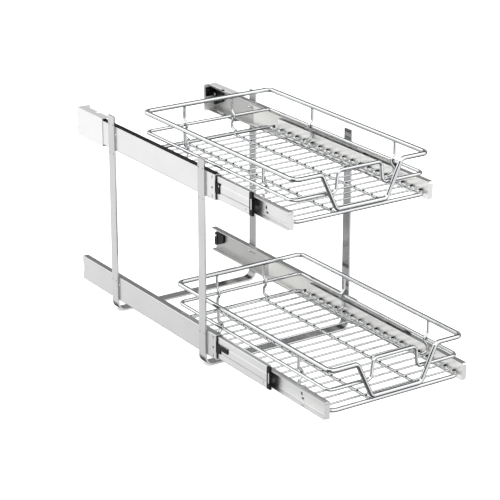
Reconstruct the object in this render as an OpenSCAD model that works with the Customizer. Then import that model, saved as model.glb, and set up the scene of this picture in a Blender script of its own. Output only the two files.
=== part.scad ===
// Two-tier pull-out wire basket for a kitchen cabinet.
// Two bent strap frames carry four three-member ball slides, and each pair of slides carries one basket.
// Units are millimetres. X is to the right, the baskets pull out towards -Y, and +Z is up.
// The origin is the middle of the floor screw holes, on the underside of the two strap frames.
// Slide sections are drawn for the right side, with u measured inwards from the post's inner face
// and v measured up from the slide's centre line, and are mirrored for the left side.

/* [Frame] */
// outside width over the four posts
frame_w = 300; // [280:5:420]
// height of the post tops above the floor
frame_h = 367; // [360:1:420]
// distance between the centre lines of the front and rear frames
frame_pitch = 295; // [240:5:310]
// width of the strap
strap_w = 20; // [14:1:26]
// thickness of the strap
strap_t = 3; // [2:0.5:4]
// outer radius of the strap's two bends
strap_bend_r = 18; // [8:1:20]
// diameter of the floor screw holes
screw_hole_d = 5; // [4:0.5:6]
// distance between the outer screw holes of one frame
screw_spacing = 220; // [150:5:240]
// diameter of the weld marks on the posts
mark_d = 3; // [2:0.5:4]
// depth of the weld marks
mark_depth = 0.6; // [0.2:0.1:1]
// distance between the two marks of a pair
mark_spacing = 13; // [8:1:15]
// height of the weld marks above the bottom of the upper slide, for the pair over it
mark_over = 46.8; // [46:0.1:48]
// drop of the pair of marks under the upper slide below its bottom
mark_under = 6; // [4:0.5:8]
// height of the lower slide's pair of marks above the bottom of that slide
mark_lower = 37.8; // [34:0.1:42]

/* [Tiers] */
// height of the lower slides' bottom edge above the floor
lower_z = 22; // [20:1:30]
// height from the lower slides to the upper slides
tier_pitch = 282; // [220:1:290]
// how far the upper basket is drawn out from closed, as stored
upper_out = 194; // [0:1:432]
// how far the lower basket is drawn out from closed, as stored
lower_out = 296; // [0:1:432]

/* [Fixed rail] */
// length of a fixed rail
rail_len = 457; // [440:1:500]
// height of a fixed rail
rail_h = 45; // [45:0.5:46]
// depth of a fixed rail from its back to its flange edges
rail_d = 12.7; // [12.5:0.1:14]
// thickness of a fixed rail's back
rail_web_t = 1.2; // [1:0.1:1.3]
// thickness of a fixed rail's flanges
rail_flange_t = 1.4; // [1.2:0.1:1.5]
// outer radius of the bends at a fixed rail's back
rail_bend_r = 2; // [1.5:0.1:2.5]
// distance that a fixed rail stands out in front of the front frame's centre line
rail_front = 38; // [20:1:60]
// diameter of the small hole at the front of a fixed rail
front_hole_d = 4; // [2:0.5:5]
// distance of the front hole below the centre line
front_hole_v = 1.5; // [0:0.5:4]
// distance of the front hole and slots behind the rail's front edge
front_hole_y = 8.3; // [6:0.1:12]
// height of the two slots above and below the front hole
front_slot_h = 6; // [3:0.5:7]
// width of those slots
front_slot_w = 2.2; // [1:0.1:3]
// distance of the slots from the centre line
front_slot_v = 16.5; // [14:0.5:17]
// length of the slot in the back behind the rear post
post_slot_l = 27; // [10:1:40]
// height of that slot
post_slot_h = 2.5; // [1.5:0.1:4]
// height of that slot above the centre line
post_slot_v = 7.5; // [4:0.5:12]
// depth of the notch in the back's rear end
rear_notch_l = 3.5; // [1:0.5:6]
// height of that notch
rear_notch_h = 17; // [8:1:20]

/* [Intermediate member] */
// length of an intermediate member
mid_len = 420; // [400:1:422]
// half height over an intermediate member's flanges
mid_half_h = 19.7; // [19.6:0.05:19.8]
// distance from the fixed rail's back to the intermediate member's back
mid_gap = 1.4; // [1.4:0.1:1.6]
// thickness of its back between the two folds
mid_web_t = 1.3; // [1.2:0.1:1.3]
// depth of the fold that thins its back beside the flanges
mid_fold = 0.6; // [0.2:0.1:0.6]
// height of the folds above and below the centre line
mid_fold_v = 7.2; // [6.5:0.1:12]
// height of a fold's slope
mid_fold_h = 1.2; // [0.4:0.1:2]
// thickness of its flanges
mid_flange_t = 1.4; // [1.3:0.05:1.5]
// how far its flange edges stay back from those of the fixed rail
mid_inset = 0.3; // [0.1:0.1:0.5]
// outer radius of the bends at its back
mid_bend_r = 1.5; // [1:0.1:1.8]
// thickness of the tongue at its front end, which holds the bumper
tongue_t = 0.6; // [0.4:0.1:0.7]
// clearance round that tongue
tongue_gap = 0.1; // [0.05:0.05:0.2]
// diameter of the small hole near its front end
mid_hole_d = 2.5; // [1.5:0.5:3]
// distance of that hole behind the front end
mid_hole_y = 10; // [6:1:20]
// distance of that hole below the centre line
mid_hole_v = 12; // [11:0.5:14]

/* [Inner member] */
// length of an inner member
inner_len = 430; // [410:1:432]
// half height over an inner member's flanges
inner_half_h = 15; // [14.9:0.05:15.1]
// distance from the intermediate member's back to the inner member's flange edges
inner_gap = 1.3; // [1.3:0.1:1.5]
// depth of an inner member from its flange edges to its inner face
inner_d = 10.3; // [9.9:0.1:11]
// thickness of an inner member's back
inner_web_t = 1.2; // [1:0.1:1.5]
// thickness of its flanges
inner_flange_t = 1.4; // [1.2:0.1:1.5]
// outer radius of the bends at its back
inner_bend_r = 1.5; // [1:0.1:1.8]
// size of the race ledge in the corners of its channel
ledge = 2; // [1.9:0.1:2.5]
// radius of the hollow in that ledge
ledge_r = 1.8; // [1:0.1:1.8]
// thickness of the plate that closes its front
tab_t = 1.2; // [1:0.1:2]
// height of the open gap over that plate
tab_gap = 4; // [2:0.5:6]
// radius of that plate's lower outer corner
tab_corner_r = 5; // [2:0.5:6]
// distance that the inner member stands out of the fixed rail when closed
inner_proud = 9; // [5:1:15]
// distance of the upright hook slot behind its front end
hook_y = 74.6; // [40:0.1:120]
// width of that slot
hook_w = 4; // [2:0.1:5]
// height of that slot
hook_h = 6; // [5.2:0.1:8]
// height of that slot's middle above the centre line
hook_v = 0.5; // [0:0.1:2]
// width of the second hook slot, which lies along the member
catch_w = 3.2; // [2:0.1:4]
// length of that slot
catch_l = 6.5; // [4:0.1:8]
// drop of that slot below the centre line
catch_v = 7; // [6:0.1:9]
// distance of that slot's middle in front of the upright slot
catch_step = 3; // [0:0.5:6]

/* [Balls and cages] */
// diameter of the outer balls, between fixed rail and intermediate member
outer_ball_d = 3; // [3:0.05:3.05]
// diameter of the inner balls, between intermediate and inner member
inner_ball_d = 4; // [3.95:0.05:4]
// radial clearance of a ball in its groove
ball_gap = 0.1; // [0.05:0.05:0.12]
// radial clearance of a ball in its cage hole
cage_hole_gap = 0.06; // [0.02:0.02:0.1]
// depth of the outer ball rows, from the post's inner face
outer_ball_u = 10.3; // [10.2:0.1:10.4]
// depth of the inner ball rows, from the post's inner face
inner_ball_u = 7; // [6.9:0.1:7]
// thickness of the cage strips
cage_t = 0.6; // [0.5:0.1:0.6]
// length of a cage
cage_len = 170; // [120:5:175]
// number of balls in one row
balls_per_row = 8; // [4:1:12]
// distance of the first ball from the cage's end
ball_margin = 6; // [4:1:12]
// clearance of the cages from the members beside them
cage_gap = 0.35; // [0.3:0.05:0.4]
// distance of the outer cage behind the fixed rail's front, when closed
outer_cage_y = 132; // [130:1:140]
// distance of the inner cage behind the fixed rail's front, when closed
inner_cage_y = 124; // [120:1:130]
// share of the basket's travel that the outer cage makes
outer_cage_share = 0.25;
// share of the basket's travel that the intermediate member makes
mid_share = 0.5;
// share of the basket's travel that the inner cage makes
inner_cage_share = 0.75;

/* [Plastic pieces] */
// distance that the bumper stands out in front of the intermediate member
bumper_l = 8; // [8:0.5:12]
// depth of the bumper from the intermediate member's back
bumper_d = 4.5; // [3:0.5:8]
// clearance of the bumper's arms from the inner member
bumper_gap = 0.4; // [0.3:0.1:0.6]
// distance from the member's end to the bumper's window
bumper_window_y = 1.7; // [1:0.1:2]
// length of that window
bumper_window_l = 4.8; // [3:0.1:5.2]
// height of that window
bumper_window_h = 19; // [10:0.5:22]
// distance that the retainer stands out in front of the fixed rail
retainer_l = 11.5; // [9:0.5:16]
// length of the retainer inside the fixed rail
retainer_in = 12; // [6:1:14]
// thickness of the retainer
retainer_t = 1.1; // [0.8:0.1:1.1]
// height of the retainer
retainer_h = 17.5; // [12:0.5:18]
// height of the hole in an upper retainer
retainer_hole_h = 4.6; // [2:0.1:6]
// length of that hole
retainer_hole_l = 6.4; // [3:0.1:7]
// distance from that hole to the retainer's front end
retainer_hole_y = 0.8; // [0.6:0.1:1.5]
// height of that hole's middle above the centre line
retainer_hole_v = 4; // [0:0.1:6]
// length of the finger on a lower retainer
finger_l = 22.5; // [10:0.5:25]
// height of that finger
finger_h = 8.5; // [4:0.5:10]
// height of that finger's middle above the centre line
finger_v = 3; // [0:0.5:4]
// length of a soft-close damper
damper_l = 31; // [26:1:31]
// depth of a damper from the rail's back
damper_d = 4.5; // [3:0.1:6]
// height of a damper's top above the centre line
damper_top = 12.5; // [10:0.5:14]
// drop of its rear end below the centre line
damper_drop = 13.5; // [10:0.5:14]
// length of its underside that is level, from the rear
damper_level = 5; // [3:0.5:8]
// length of the short slope at its front
damper_slope_l = 3.5; // [2:0.5:6]
// height of that slope
damper_slope_h = 5.5; // [3:0.5:8]
// height of its front end
damper_front_h = 11; // [8:0.5:12]
// radius of its rear corners
damper_r = 3; // [1:0.5:4]
// distance of a damper from the rail's rear end
damper_inset = 1; // [0.5:0.5:3]
// width of the rim round the pocket in a damper's face
damper_rim = 2.2; // [1.5:0.1:3]
// distance from a damper's rear end to that pocket
damper_pocket_y = 9.5; // [8.5:0.5:12]
// depth of that pocket
damper_pocket_t = 0.8; // [0.3:0.1:1.2]
// diameter of the rivet that holds a damper
rivet_d = 5; // [3:0.5:5.5]
// height of the rivet above the centre line
rivet_v = 6.5; // [4:0.5:8]
// distance of the rivet from a damper's rear end
rivet_y = 4.5; // [4:0.5:6]
// distance that a rivet or screw head stands out
head_proud = 0.5; // [0.2:0.1:0.8]
// thickness of the foot that holds an upper damper to the sleeve's end plate
foot_t = 3; // [2:0.5:5]
// reach of that foot, measured as for the slides
foot_u = 22; // [18:0.5:25]
// height of that foot's lower edge above the centre line
foot_low = 3.5; // [1:0.5:6]
// height of that foot's upper edge above the centre line
foot_high = 20; // [16:0.5:20.5]
// diameter of the foot's screw
screw_d = 3.5; // [2.5:0.5:4]
// distance of that screw from the foot's inner edge
screw_in = 3.5; // [3:0.5:6]
// distance of that screw below the foot's upper edge
screw_drop = 5; // [3:0.5:8]

/* [Rear sleeve] */
// length of a rear sleeve
sleeve_l = 91; // [60:1:95]
// height of a rear sleeve
sleeve_h = 52; // [49:0.5:54]
// thickness of the sleeve's sheet
sleeve_t = 1; // [0.8:0.1:1.5]
// distance that a sleeve stands out behind the fixed rail
sleeve_back = 2; // [0:0.5:5]
// depth of the sleeve's flanges, measured as for the slides
sleeve_u = 15.5; // [13:0.1:15.5]
// reach of the sleeve's end plate, measured as for the slides
end_plate_u = 25.5; // [24:0.5:26]
// width of the two relief slots beside the end plate's bend
relief_w = 1.5; // [1:0.1:2]
// height of those slots
relief_h = 4; // [3:0.5:6]
// distance of those slots from the centre line
relief_v = 12; // [6:0.5:16]
// length of the notch in the top flange
sleeve_notch_l = 10; // [4:1:15]
// depth of that notch
sleeve_notch_d = 5; // [2:0.5:6]
// distance of that notch behind the sleeve's front
sleeve_notch_y = 35; // [20:1:50]
// length of the two windows in the bottom flange
sleeve_window_l = 22; // [10:1:25]
// width of those windows
sleeve_window_w = 6; // [3:0.5:7]
// distance between the starts of those windows
sleeve_window_pitch = 34; // [30:1:40]
// distance of the first window behind the sleeve's front
sleeve_window_y = 20; // [10:1:25]

/* [Basket] */
// diameter of the top rail
top_d = 8; // [6:0.5:9]
// half width of the top rail, to its centre line
top_x = 130; // [128:0.5:130]
// height of the top rail above the slide's bottom
top_z = 86.7; // [80:0.1:90]
// distance of the top rail's front behind the inner member's front
top_y = 2; // [0:0.5:3]
// distance of the rear of the top rail and the floor loop behind the inner member's front
basket_rear = 454; // [452:0.5:455]
// bend radius of the top and middle rails at the corners
corner_r = 11; // [8:0.5:16]
// half width of the front dip at the top
dip_top_x = 78; // [70:1:80]
// half width of the front dip at the bottom
dip_bottom_x = 49; // [46:0.5:54]
// bend radius of the dip
dip_r = 9; // [7:0.5:10]
// diameter of the middle rail
mid_rail_d = 6; // [5:0.5:7]
// how far the middle rail is inside the top rail at the sides and the rear
mid_rail_in = 2; // [1.5:0.5:3]
// height of the middle rail above the slide's bottom
mid_rail_z = 51; // [48:0.5:53]
// half width of the arch in the middle rail, at its foot
arch_foot_x = 46; // [40:1:46]
// half width of the arch at its top
arch_top_x = 42; // [34:1:42]
// bend radius of the arch
arch_r = 8; // [7:0.5:9]
// height of the arch's top above the slide's bottom
arch_z = 86; // [78:0.5:90]
// diameter of the floor loop's rod
loop_d = 7; // [5:0.5:8]
// height of the floor loop above the slide's bottom
loop_z = 17.5; // [15:0.5:19]
// distance of the loop's front behind the inner member's front
loop_y = 4; // [3.5:0.5:6]
// bend radius of the floor loop's corners
loop_r = 12; // [8:1:16]
// diameter of the cross wires
wire_d = 3.2; // [2.5:0.1:4]
// number of cross wires
wire_count = 19; // [5:1:19]
// distance between cross wires
wire_pitch = 23.43; // [20:0.01:23.45]
// distance of the first cross wire behind the inner member's front
first_wire = 17.8; // [15:0.1:18.5]
// diameter of the long rods under the cross wires
rod_d = 5; // [3:0.5:5.5]
// half distance between the two long rods
rod_x = 49; // [30:1:60]
// diameter of the uprights
upright_d = 5; // [4:0.5:5.5]
// half distance between the two rear uprights
rear_upright_x = 49; // [30:1:60]
// number of the cross wire under the front side uprights, counted from 0
front_upright_wire = 3; // [1:1:5]
// number of the cross wire under the rear side uprights
rear_upright_wire = 13; // [8:1:16]
// bend radius of the uprights
upright_r = 4; // [3.5:0.1:4.5]
// half height of the straight part of an upright beside the middle rail
kink_half = 3; // [2:0.5:4]
// height of the slopes over and under that part
kink_rise = 8; // [7:0.5:10]
// height of the slope at an upright's lower end
toe_rise = 2; // [1.5:0.5:8]
// height of that slope's end over the wires, as a share of the upright's diameter
toe_lift = 0.49;
// distance of an upright's lower end inside the top rail
toe_reach = 14; // [12:0.5:15]
// depth that crossing rods are welded into each other
weld = 0.1; // [0.05:0.05:0.15]
// gap between the basket's rods and the inner members' faces
side_gap = 0.05; // [0.02:0.01:0.1]

/* [Hidden] */
$fn = 36;
// a cutter reaches this far past a face
past = 1;
// length and extra diameter of the ring that unites a sloping rod and its bend
ring_l = 0.4;
ring_t = 0.06;
// inner face of the posts, which is also the back of the fixed rails
rail_x = frame_w / 2 - strap_t;
// front edge of the fixed rails
rail_y = -frame_pitch / 2 - rail_front;
upper_z = lower_z + tier_pitch;
half_h = rail_h / 2;
// front edges of the inner members as stored
upper_front = rail_y - inner_proud - upper_out;
lower_front = rail_y - inner_proud - lower_out;
// depths of the slide's layers
mid_u = rail_web_t + mid_gap;
mid_edge_u = rail_d - mid_inset;
mid_back_u = mid_u + mid_web_t;
inner_u = mid_back_u + inner_gap;
inner_back_u = inner_u + inner_d;
mid_in_v = mid_half_h - mid_flange_t;
rail_in_v = half_h - rail_flange_t;
outer_ball_v = (rail_in_v + mid_half_h) / 2;
inner_ball_v = (mid_in_v + inner_half_h) / 2;
// rear end of the fixed rails, inner face of the sleeve's end plate, and ends of a damper
rail_rear = rail_y + rail_len;
plate_y = rail_rear + sleeve_back - sleeve_t;
damper_rear = rail_rear - damper_inset;
damper_front = damper_rear - damper_l;
damper_face = rail_web_t + damper_d;
damper_front_v = damper_top - damper_front_h;
// centre lines of the basket's rods
inner_face_x = rail_x - inner_back_u;
loop_x = inner_face_x - side_gap - loop_d / 2;
mid_rail_x = top_x - mid_rail_in;
mid_rail_y = top_y + top_d / 2 + mid_rail_d / 2 - weld;
wire_z = loop_z + loop_d / 2 + wire_d / 2 - weld;
rod_z = wire_z - wire_d / 2 - rod_d / 2 + weld;
dip_z = loop_z + loop_d / 2 + top_d / 2 - weld;
// points of an upright: distance inside the top rail, and height above the slide's bottom
kink_in = mid_rail_in + mid_rail_d / 2 + upright_d / 2 - weld;
low_in = top_x - inner_face_x + upright_d / 2 + weld;
toe_z = wire_z + wire_d / 2 + upright_d * toe_lift - weld;
upright_top = top_z - top_d / 2 + weld;

// the right side as drawn, or its mirror image on the left
module on_side(side) {
    if (side > 0) {
        children();
    } else {
        mirror([1, 0, 0]) children();
    }
}

// moves a slide piece from u and v to its place: side is 1 or -1, z is the slide's bottom edge
module in_slide(side, z) {
    on_side(side) translate([rail_x, 0, z + half_h]) children();
}

// straight bar between two depths, two heights and two distances along the slide
module bar(u0, u1, v0, v1, y0, y1) {
    translate([-u1, y0, v0]) cube([u1 - u0, y1 - y0, v1 - v0]);
}

// long round groove or rod along the slide
module groove(u, v, r, y0, y1) {
    translate([-u, y0, v]) rotate([-90, 0, 0]) cylinder(h = y1 - y0, r = r);
}

// bar with its back corners rolled to a radius: the back is at u_back and the flange edges at u_edge
module rolled_bar(u_back, u_edge, half, r, y0, y1) {
    s = sign(u_edge - u_back);
    bar(min(u_back + s * r, u_edge), max(u_back + s * r, u_edge), -half, half, y0, y1);
    bar(min(u_back, u_edge), max(u_back, u_edge), r - half, half - r, y0, y1);
    for (v = [r - half, half - r]) {
        groove(u_back + s * r, v, r, y0, y1);
    }
}

// round hole through a slide member's back
module back_hole(u0, u1, v, y, d) {
    translate([-u1, y, v]) rotate([0, 90, 0]) cylinder(h = u1 - u0, d = d);
}

// upright slot with round ends through a slide member's back
module back_slot(u0, u1, v, y, w, h) {
    back_hole(u0, u1, v - (h - w) / 2, y, w);
    back_hole(u0, u1, v + (h - w) / 2, y, w);
    bar(u0, u1, v - (h - w) / 2, v + (h - w) / 2, y - w / 2, y + w / 2);
}

// direction of the line from one point to the next
function heading(a, b) = atan2(b[1] - a[1], b[0] - a[0]);
// turn at point i of a path, between -180 and 180 degrees
function turn(p, i) = ((heading(p[i], p[i + 1]) - heading(p[i - 1], p[i]) + 540) % 360) - 180;
// length that a bend takes from each of the two lines it joins
function bend_cut(p, i, r) = (i == 0 || i == len(p) - 1) ? 0 : r * tan(abs(turn(p, i)) / 2);

// round rod bent along a flat path of points, drawn in the XY plane
module bent_rod(p, r, d) {
    for (i = [0 : len(p) - 2]) {
        a = heading(p[i], p[i + 1]);
        span = norm(p[i + 1] - p[i]) - bend_cut(p, i, r) - bend_cut(p, i + 1, r);
        translate([p[i][0], p[i][1], 0]) rotate([0, 0, a])
            translate([bend_cut(p, i, r), 0, 0]) rotate([0, 90, 0]) cylinder(h = span, d = d);
    }
    for (i = [1 : len(p) - 2]) {
        side = turn(p, i) > 0 ? 1 : -1;
        a = heading(p[i - 1], p[i]);
        cut = bend_cut(p, i, r);
        translate([p[i][0], p[i][1], 0]) rotate([0, 0, a])
            translate([-cut, side * r, 0])
            rotate([0, 0, side > 0 ? -90 : 90 - abs(turn(p, i))])
            rotate_extrude(angle = abs(turn(p, i))) translate([r, 0]) circle(d = d);
        if (abs(abs(turn(p, i)) - 90) > 0.01) {
            rod_ring(p[i], a, -cut, d);
            rod_ring(p[i], heading(p[i], p[i + 1]), cut, d);
        }
    }
}

// ring over the joint of a line and a bend, at a distance from a point along a heading
module rod_ring(point, a, distance, d) {
    translate([point[0], point[1], 0]) rotate([0, 0, a])
        translate([distance - ring_l / 2, 0, 0]) rotate([0, 90, 0]) cylinder(h = ring_l, d = d + ring_t);
}

// stands a flat path up, so that its second coordinate becomes height
module upright_plane() {
    rotate([90, 0, 0]) children();
}

// strap bent to a U, with floor screw holes and the weld marks on its posts
module strap_frame(y) {
    reach = frame_w / 2 - strap_bend_r;
    difference() {
        translate([0, y - strap_w / 2, 0]) {
            translate([-reach, 0, 0]) cube([2 * reach, strap_w, strap_t]);
            for (side = [-1, 1]) {
                on_side(side) {
                    translate([rail_x, 0, strap_bend_r]) cube([strap_t, strap_w, frame_h - strap_bend_r]);
                    translate([reach, strap_w, strap_bend_r]) rotate([90, 0, 0])
                        rotate([0, 0, -90]) rotate_extrude(angle = 90)
                        translate([strap_bend_r - strap_t, 0]) square([strap_t, strap_w]);
                }
            }
        }
        for (x = [-screw_spacing / 2, 0, screw_spacing / 2]) {
            translate([x, y, -past]) cylinder(h = strap_t + 2 * past, d = screw_hole_d);
        }
        for (side = [-1, 1], z = [lower_z + mark_lower, upper_z - mark_under, upper_z + mark_over]) {
            for (dy = [-mark_spacing / 2, mark_spacing / 2]) {
                on_side(side) translate([frame_w / 2 - mark_depth, y + dy, z]) rotate([0, 90, 0])
                    cylinder(h = mark_depth + past, d = mark_d);
            }
        }
    }
}

// outer member: a channel that opens inwards, welded to the posts
module fixed_rail() {
    slot_y = frame_pitch / 2 + (post_slot_l - post_slot_h) / 2;
    lip_r = rail_d - outer_ball_u;
    difference() {
        intersection() {
            rolled_bar(0, rail_d + past, half_h, rail_bend_r, rail_y, rail_rear);
            rolled_bar(rail_d, -past, half_h, lip_r, rail_y, rail_rear);
        }
        bar(rail_web_t, rail_d + past, -rail_in_v, rail_in_v, rail_y - past, rail_rear + past);
        for (v = [-outer_ball_v, outer_ball_v]) {
            groove(outer_ball_u, v, outer_ball_d / 2 + ball_gap, rail_y - past, rail_rear + past);
        }
        back_hole(-past, rail_web_t + past, -front_hole_v, rail_y + front_hole_y, front_hole_d);
        for (v = [-front_slot_v, front_slot_v]) {
            back_slot(-past, rail_web_t + past, v, rail_y + front_hole_y, front_slot_w, front_slot_h);
        }
        bar(-past, rail_web_t + past, post_slot_v - post_slot_h / 2, post_slot_v + post_slot_h / 2,
            slot_y - post_slot_l + post_slot_h, slot_y);
        bar(-past, rail_web_t + past, -rear_notch_h / 2, rear_notch_h / 2,
            rail_rear - rear_notch_l, rail_rear + past);
    }
}

// sheet sleeve round the rear end of an upper fixed rail, with an end plate bent inwards
module rear_sleeve() {
    rear = plate_y + sleeve_t;
    front = rear - sleeve_l;
    difference() {
        bar(-sleeve_t, sleeve_u, -sleeve_h / 2, sleeve_h / 2, front, rear);
        bar(0, sleeve_u + past, -sleeve_h / 2 + sleeve_t, sleeve_h / 2 - sleeve_t, front - past, rear + past);
        bar(sleeve_u - sleeve_notch_d, sleeve_u + past, 0, sleeve_h / 2 + past,
            front + sleeve_notch_y, front + sleeve_notch_y + sleeve_notch_l);
        for (i = [0, 1]) {
            bar(rail_web_t, rail_web_t + sleeve_window_w, -sleeve_h / 2 - past, 0,
                front + sleeve_window_y + i * sleeve_window_pitch,
                front + sleeve_window_y + i * sleeve_window_pitch + sleeve_window_l);
        }
        for (v = [-relief_v, relief_v]) {
            bar(-sleeve_t - past, past, v - relief_h / 2, v + relief_h / 2, plate_y - relief_w, plate_y);
        }
    }
    bar(-sleeve_t, end_plate_u, -sleeve_h / 2, sleeve_h / 2, plate_y, rear);
}

// plastic retainer on the fixed rail's back, standing out in front of it
module retainer(with_finger) {
    front = rail_y - retainer_l;
    hole_y = front + retainer_hole_y;
    top_v = with_finger ? finger_v + finger_h / 2 : retainer_h / 2;
    difference() {
        bar(rail_web_t, rail_web_t + retainer_t, -retainer_h / 2, top_v, front, rail_y + retainer_in);
        if (!with_finger) {
            bar(0, mid_u, retainer_hole_v - retainer_hole_h / 2, retainer_hole_v + retainer_hole_h / 2,
                hole_y, hole_y + retainer_hole_l);
        }
    }
    if (with_finger) {
        bar(rail_web_t, rail_web_t + retainer_t, finger_v - finger_h / 2, finger_v + finger_h / 2,
            front - finger_l, front);
    }
}

// height of a damper's sloping underside at a distance from its rear end
function under_v(t) = damper_front_v - damper_slope_h
    - (damper_l - damper_slope_l - t) * (damper_front_v - damper_slope_h + damper_drop)
    / (damper_l - damper_slope_l - damper_level);

// flat piece of a damper, given by distances along the slide and heights, between two depths
module damper_plate(u0, u1, points) {
    translate([-u1, 0, 0]) rotate([90, 0, 90]) linear_extrude(height = u1 - u0) polygon(points);
}

// plastic soft-close damper in the rear end of a fixed rail, with a foot on the end plate of an upper one
module damper(with_foot) {
    slope_y = damper_front + damper_slope_l;
    slope_v = damper_front_v - damper_slope_h;
    pocket_rear = damper_rear - damper_pocket_y;
    rivet_hole_y = damper_rear - rivet_y;
    difference() {
        union() {
            damper_plate(rail_web_t, damper_face, [
                [damper_rear - damper_r, damper_top], [damper_rear, damper_top - damper_r],
                [damper_rear, damper_r - damper_drop], [damper_rear - damper_r, -damper_drop],
                [damper_rear - damper_level, -damper_drop], [slope_y, slope_v],
                [damper_front, damper_front_v], [damper_front, damper_top]]);
            for (v = [damper_r - damper_drop, damper_top - damper_r]) {
                back_hole(rail_web_t, damper_face, v, damper_rear - damper_r, 2 * damper_r);
            }
            if (with_foot) {
                bar(rail_web_t, foot_u, foot_low, foot_high, plate_y - foot_t, plate_y);
            }
        }
        damper_plate(damper_face - damper_pocket_t, damper_face + past, [
            [pocket_rear, damper_top - damper_rim], [pocket_rear, under_v(damper_pocket_y) + damper_rim],
            [slope_y, slope_v + damper_rim], [damper_front + damper_rim, damper_front_v + damper_rim],
            [damper_front + damper_rim, damper_top - damper_rim]]);
        back_hole(rail_web_t - past, damper_face + past, rivet_v, rivet_hole_y, rivet_d);
        groove(foot_u - screw_in, foot_high - screw_drop, screw_d / 2, plate_y - foot_t - past, plate_y + past);
    }
}

// steel rivet through a damper
module damper_rivet() {
    back_hole(rail_web_t, damper_face + head_proud, rivet_v, damper_rear - rivet_y, rivet_d);
}

// steel screw through the foot of an upper damper
module foot_screw() {
    groove(foot_u - screw_in, foot_high - screw_drop, screw_d / 2, plate_y - foot_t - head_proud, plate_y);
}

// intermediate member, drawn with its front edge at y, with a tongue for the bumper
module mid_member(y) {
    rear = y + mid_len;
    tongue_v = bumper_window_h / 2 - tongue_gap;
    difference() {
        union() {
            rolled_bar(mid_u + mid_fold, mid_edge_u, mid_half_h, mid_bend_r, y, rear);
            translate([0, rear, 0]) rotate([90, 0, 0]) linear_extrude(height = mid_len) polygon([
                [-mid_u, mid_fold_h - mid_fold_v], [-mid_u - mid_fold, -mid_fold_v],
                [-mid_back_u, -mid_fold_v], [-mid_back_u, mid_fold_v],
                [-mid_u - mid_fold, mid_fold_v], [-mid_u, mid_fold_v - mid_fold_h]]);
        }
        bar(mid_back_u, mid_edge_u + past, -mid_in_v, mid_in_v, y - past, rear + past);
        for (s = [-1, 1]) {
            groove(outer_ball_u, s * outer_ball_v, outer_ball_d / 2 + ball_gap, y - past, rear + past);
            groove(inner_ball_u, s * inner_ball_v, inner_ball_d / 2 + ball_gap, y - past, rear + past);
        }
        back_hole(mid_u - past, mid_back_u + past, -mid_hole_v, y + mid_hole_y, mid_hole_d);
    }
    bar(mid_back_u - tongue_t, mid_back_u, -tongue_v, tongue_v,
        y - bumper_window_y - bumper_window_l + tongue_gap, y);
}

// plastic bumper on the front end of an intermediate member, with a window over the member's tongue
module bumper(y) {
    window_front = y - bumper_window_y - bumper_window_l;
    window_v = bumper_window_h / 2;
    difference() {
        rolled_bar(mid_u, mid_u + bumper_d, mid_half_h, mid_bend_r, y - bumper_l, y);
        bar(mid_back_u, mid_u + bumper_d + past, -inner_half_h - bumper_gap, inner_half_h + bumper_gap,
            y - bumper_l - past, y + past);
        bar(mid_u - past, mid_back_u + past, -window_v, window_v, window_front, y - bumper_window_y);
        bar(mid_back_u - tongue_t - tongue_gap, mid_back_u + past, -window_v, window_v,
            window_front, y + past);
    }
}

// inner member, drawn with its front edge at y: a channel that opens outwards
module inner_member(y) {
    groove_r = inner_ball_d / 2 + ball_gap;
    rear = y + inner_len;
    web_u = inner_back_u - inner_web_t;
    in_v = inner_half_h - inner_flange_t;
    catch_y = y + hook_y - catch_step;
    catch_half = (catch_l - catch_w) / 2;
    difference() {
        rolled_bar(inner_back_u, inner_u, inner_half_h, inner_bend_r, y, rear);
        bar(inner_u - past, web_u, -in_v, in_v, y + tab_t, rear + past);
        bar(inner_u - past, web_u, inner_half_h - tab_gap, inner_half_h + past, y - past, y + tab_t);
        for (s = [-1, 1]) {
            groove(inner_ball_u, s * inner_ball_v, groove_r, y - past, rear + past);
        }
        difference() {
            bar(inner_u - past, inner_u + tab_corner_r, -inner_half_h - past,
                tab_corner_r - inner_half_h, y - past, y + tab_t);
            groove(inner_u + tab_corner_r, tab_corner_r - inner_half_h, tab_corner_r,
                y - 2 * past, y + 2 * past);
        }
        back_slot(web_u - past, inner_back_u + past, hook_v, y + hook_y, hook_w, hook_h);
        for (dy = [-catch_half, catch_half]) {
            back_hole(web_u - past, inner_back_u + past, -catch_v, catch_y + dy, catch_w);
        }
        bar(web_u - past, inner_back_u + past, -catch_v - catch_w / 2, -catch_v + catch_w / 2,
            catch_y - catch_half, catch_y + catch_half);
    }
    for (s = [-1, 1]) {
        low_v = s > 0 ? in_v - ledge : -in_v;
        difference() {
            bar(web_u - ledge, web_u, low_v, low_v + ledge, y, rear);
            groove(web_u - ledge, s * (in_v - ledge), ledge_r, y - past, rear + past);
        }
    }
}

// distance of ball i from the front of its cage
function ball_y(i) = ball_margin + i * (cage_len - 2 * ball_margin) / (balls_per_row - 1);

// rows of balls at the given depth and height, on both sides of the centre line
module ball_rows(u, v, d, y) {
    for (s = [-1, 1], i = [0 : balls_per_row - 1]) {
        translate([-u, y + ball_y(i), s * v]) sphere(d = d);
    }
}

// thin cage bent to a channel, with a hole for each ball
module cage(u0, u1, ball_u, ball_v, ball_d, y) {
    difference() {
        bar(u0, u1, -ball_v - cage_t / 2, ball_v + cage_t / 2, y, y + cage_len);
        bar(u0 + cage_t, u1 + past, -ball_v + cage_t / 2, ball_v - cage_t / 2, y - past, y + cage_len + past);
        for (i = [0 : balls_per_row - 1]) {
            translate([-ball_u, y + ball_y(i), -ball_v - past])
                cylinder(h = 2 * (ball_v + past), d = ball_d + 2 * cage_hole_gap);
        }
    }
}

// cage and balls between fixed rail and intermediate member, for a basket drawn out by the given distance
module outer_cage(out) {
    cage(rail_web_t + cage_gap, mid_edge_u - cage_gap, outer_ball_u, outer_ball_v, outer_ball_d,
        rail_y + outer_cage_y - outer_cage_share * out);
}

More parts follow.
